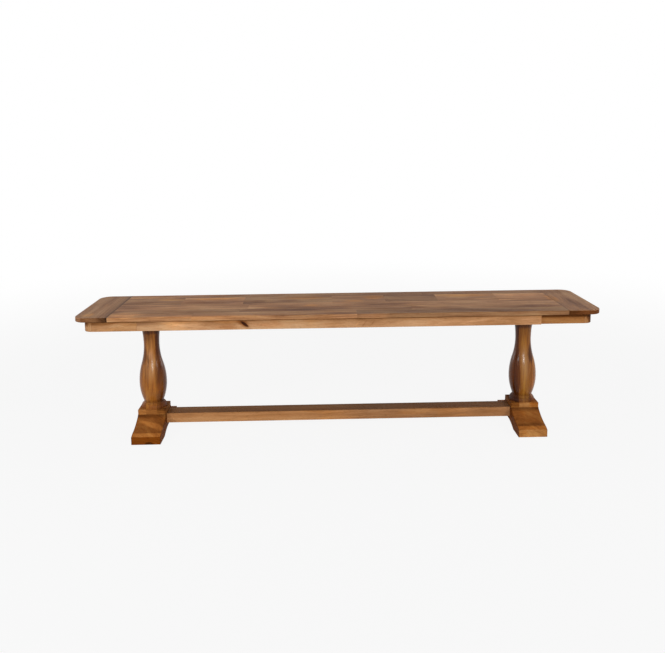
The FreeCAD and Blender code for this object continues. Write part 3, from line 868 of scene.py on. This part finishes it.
ACROSS_SCOOP = {"turn": (0, -9, 0), "ragged": 0.4, "core": 0.6}
FOOT_MARKS = {
    "left": [
        leg_mark("left", 0, -105, 47, (64, 60, 5.5), (1.60, 1.70, 1.75), **ACROSS_SCOOP),
        leg_mark("left", 12, TOE_FRONT, 0, (16, 6, 11), 0.35, ragged=0.2, core=0.7),
    ],
    "right": [leg_mark("right", 0, -122, 34, (70, 22, 5), 0.72, ragged=0.5)],
}
BEVEL_BACK = TOE_FRONT + 20
BEVEL_TONES = {"left": (1.65, 1.75, 1.8), "right": (1.60, 1.66, 1.6)}
TOE_TONES = {"left": (0.41, 0.28, 0.10), "right": (0.98, 1.2, 1.7)}
# Painted shade on the foot's sides
FOOT_SIDE_SHADE = (0.70, 0.62, 0.50)
FOOT_HALF_WIDTH = (box_mm("right_foot")[1].x - box_mm("right_foot")[0].x) / 2
PLINTH_HALF_WIDTH = (box_mm("right_plinth")[1].x - box_mm("right_plinth")[0].x) / 2


def foot_fades(side):
    """Painted shade on the scoop under the plinth and on both sides of the foot."""
    x = leg_x(side)
    within_sides = ("X", x, FOOT_HALF_WIDTH - 0.5, 0.1)
    return [
        ("Z", PLINTH_BOTTOM - 14, PLINTH_BOTTOM - 3, (0.50, 0.48, 0.48)),
        ("Y", BEVEL_BACK + 2, BEVEL_BACK - 2, BEVEL_TONES[side], within_sides),
        ("Y", TOE_FRONT + 2.5, TOE_FRONT + 0.5, TOE_TONES[side]),
        ("X", x - FOOT_HALF_WIDTH + 3, x - FOOT_HALF_WIDTH + 1, FOOT_SIDE_SHADE),
        ("X", x + FOOT_HALF_WIDTH - 3, x + FOOT_HALF_WIDTH - 1, FOOT_SIDE_SHADE),
    ]


def inner_fade(side, start, end, tone, *limits):
    """A fade toward the stretcher. start and end are measured that way from the leg's axis."""
    x, inward = leg_x(side), -OUTWARD[side]
    return ("X", x + inward * start, x + inward * end, tone, *limits)


APRON_SHADOW = ("Z", 357, 368, (0.45, 0.36, 0.28))
# Painted shade on the collar, on the side toward the stretcher and on the neck's inner side
COLLAR_SHADE = {"left": (0.80, 0.74, 0.62), "right": (0.64, 0.56, 0.46)}
INNER_SHADE = {"left": (0.58, 0.46, 0.32), "right": (0.90, 0.78, 0.60)}
BULB_FOOT = ("Z", 104, 42, 24)
BULB_FOOT_TONES = {"left": (0.78, 0.70, 0.58), "right": (0.9, 0.8, 0.68)}
NECK = ("Z", 322, 62, 40)
NECK_INNER_SHADE = {"left": (0.62, 0.48, 0.32), "right": 1.0}
# Painted shade on the plinth's side toward the stretcher
PLINTH_INNER_SHADE = {"left": (0.72, 0.66, 0.62), "right": (0.88, 0.84, 0.78)}
PLINTH_OUTER_TONES = {"left": 1.0, "right": (0.72, 0.58, 0.42)}


def baluster_fades(side):
    """Painted shade: the apron's shadow, the collar, the inner side and the neck's inner side; and
    a tone on the bulb's outer foot.
    """
    return [
        APRON_SHADOW,
        ("Z", 106, 97, COLLAR_SHADE[side]),
        inner_fade(side, 14, 34, INNER_SHADE[side]),
        inner_fade(side, -12, -32, BULB_FOOT_TONES[side], BULB_FOOT),
        inner_fade(side, 6, 24, NECK_INNER_SHADE[side], NECK),
    ]


def plinth_fades(side):
    """Painted shade on the side toward the stretcher, and a tone on the outer part."""
    return [
        inner_fade(side, PLINTH_HALF_WIDTH - 9, PLINTH_HALF_WIDTH - 2, PLINTH_INNER_SHADE[side]),
        inner_fade(side, -8, -30, PLINTH_OUTER_TONES[side]),
    ]


PART_FADES = {"baluster": baluster_fades, "plinth": plinth_fades, "foot": foot_fades}
PART_MARKS = {"baluster": LEG_MARKS, "foot": FOOT_MARKS}

for side, way in OUTWARD.items():
    for number, (part, settings) in enumerate(PART_WOODS.items()):
        node = f"{side}_{part}"
        turned = part == "baluster"
        material = wood(
            f"{side} {part} wood",
            LEG_WOOD,
            seed=150 + 11 * way + 5 * number,
            shade=PART_TONES[side][part],
            middle=centre_mm(node),
            laminations=() if part == "foot" else laminations(side),
            fades=PART_FADES[part](side) if part in PART_FADES else (),
            marks=PART_MARKS[part][side] if part in PART_MARKS else (),
            **settings,
            **(TURNED_FINISH if turned else SAWN_FINISH),
        )
        if turned:
            dress(node, material)
        else:
            eased(node, PEDESTAL_EASE, every_edge, material)


# Stretcher

BAR_FINISH = {"roughness": 0.6, "specular": 0.04}

# Its top is darker with painted shade from the seat above; its right half is darker too, and its
# right end a little less
BAR_FADES = [
    ("Z", STRETCHER_TOP - 3, STRETCHER_TOP - 1, (0.455, 0.445, 0.465)),
    ("X", -70, 150, (0.79, 0.80, 0.86)),
    ("X", 330, 420, (1.12, 1.12, 1.10)),
]

bar = wood(
    "stretcher wood",
    BAR_WOOD,
    grain="X",
    seed=190,
    shade=1.14,
    contrast=0.45,
    middle=centre_mm("stretcher"),
    pith=(-0.12, 0.05),
    fades=BAR_FADES,
    **BAR_FINISH,
)
eased("stretcher", PEDESTAL_EASE, every_edge, bar)


# Fasteners

zinc = steel("zinc plated steel", linear("B8B8BA"))
yellow_zinc = steel("yellow zinc", linear("C2B48A"))
for node in ("foot_bolts", "top_bolts", "washers", "seat_screws", "stretcher_screws"):
    dress(node, zinc)
dress("thread_inserts", yellow_zinc)
dress("leg_dowels", wood("dowel wood", APRON_WOOD, grain="Z", seed=210))


# Floor, light and camera

FLOOR_HALF = 30.0
FLOOR_LEVEL = -0.3 * MM
FLOOR_COLOUR = (0.5, 0.5, 0.5)
NEAR_WHITE = 0.90
WHITER_FROM = 1.2
WHITE_AT = 4.0


def floor_material():
    """White to the camera, with the object's shadow kept, and plain pale to the light."""
    shader = Shader("pale floor")
    shader.tree.nodes.remove(shader.surface)
    diffuse = shader.add("ShaderNodeBsdfDiffuse", {"Color": FLOOR_COLOUR})
    glow = shader.add("ShaderNodeEmission", {"Color": WHITE, "Strength": 1.0})
    whiter = shader.spread(shader.length(shader.place()), WHITER_FROM, WHITE_AT, NEAR_WHITE, 1.0)
    share = shader.math("MULTIPLY", shader.seen(), whiter)
    inputs = {0: share, 1: diffuse.outputs[0], 2: glow.outputs[0]}
    blend = shader.add("ShaderNodeMixShader", inputs)
    output = next(node for node in shader.tree.nodes if node.type == "OUTPUT_MATERIAL")
    shader.feed(output.inputs["Surface"], blend.outputs[0])
    return shader.material


def add_floor():
    mesh = bpy.data.meshes.new("floor")
    corners = [(x * FLOOR_HALF, y * FLOOR_HALF, 0) for x, y in ((-1, -1), (1, -1), (1, 1), (-1, 1))]
    mesh.from_pydata(corners, [], [(0, 1, 2, 3)])
    mesh.materials.append(floor_material())
    floor = bpy.data.objects.new("floor", mesh)
    floor.location.z = FLOOR_LEVEL
    scene.collection.objects.link(floor)


WORLD_LIGHT = 0.25

# Place and target in metres, width and height in metres, power in watts
LIGHTS = {
    "front key": ((0.35, -5.5, 1.75), (0, 0, 0.3), 1.5, 0.5, 124),
    "left side light": ((-1.8, -1.5, 1.15), (-0.5, 0, 0.3), 0.55, 0.6, 14),
    "right side light": ((1.8, -1.5, 1.15), (0.5, 0, 0.3), 0.55, 0.6, 11),
    "back left light": ((-4.4, 3.7, 1.0), (0, 0, 0.3), 3.0, 1.6, 50),
    "back right light": ((4.4, 3.7, 1.0), (0, 0, 0.3), 3.0, 1.6, 50),
}


def add_world():
    """Even light from all round, and a white background to the camera."""
    world = bpy.data.worlds.new("studio")
    scene.world = world
    world.use_nodes = True
    nodes = Nodes(world.node_tree)
    background = nodes.tree.nodes["Background"]
    strength = nodes.spread(nodes.seen(), 0.0, 1.0, WORLD_LIGHT, 1.0, smooth=False)
    nodes.feed(background.inputs["Color"], WHITE)
    nodes.feed(background.inputs["Strength"], strength)


def add_light(name, place, target, width, height, power):
    lamp = bpy.data.lights.new(name, "AREA")
    lamp.shape = "RECTANGLE"
    lamp.size = width
    lamp.size_y = height
    lamp.energy = power
    holder = bpy.data.objects.new(name, lamp)
    holder.location = place
    aim = Vector(target) - Vector(place)
    holder.rotation_euler = aim.to_track_quat("-Z", "Y").to_euler()
    scene.collection.objects.link(holder)


# The photograph's viewpoint: sizes in its pixels, angles in radians, place in metres
PHOTO_WIDTH = 665
PHOTO_HEIGHT = 653
FOCAL_LENGTH = 711.7747
AXIS_Y = 240.4166
YAW = 0.0209
PITCH = 0.1348
ROLL = 0.0112
CAMERA_PLACE = (-0.06999, -2.52408, 1.03084)
SENSOR_WIDTH = 36.0
FARTHEST = 200.0


def camera_turn():
    """The camera's right, up and back as the columns of a matrix."""
    level = math.cos(PITCH)
    ahead = Vector((math.sin(YAW) * level, math.cos(YAW) * level, -math.sin(PITCH)))
    right = Vector((math.cos(YAW), -math.sin(YAW), 0))
    down = ahead.cross(right)
    rolled_right = math.cos(ROLL) * right + math.sin(ROLL) * down
    rolled_down = -math.sin(ROLL) * right + math.cos(ROLL) * down
    return Matrix((rolled_right, -rolled_down, -ahead)).transposed().to_4x4()


def add_camera():
    data = bpy.data.cameras.new("camera")
    data.sensor_width = SENSOR_WIDTH
    data.lens = FOCAL_LENGTH / PHOTO_WIDTH * SENSOR_WIDTH
    data.shift_y = (AXIS_Y - PHOTO_HEIGHT / 2) / PHOTO_WIDTH
    data.clip_end = FARTHEST
    camera = bpy.data.objects.new("camera", data)
    camera.matrix_world = Matrix.Translation(CAMERA_PLACE) @ camera_turn()
    scene.collection.objects.link(camera)
    scene.camera = camera


add_floor()
add_world()
for name, settings in LIGHTS.items():
    add_light(name, *settings)
add_camera()
scene.view_settings.view_transform = "Standard"

bpy.context.view_layer.update()
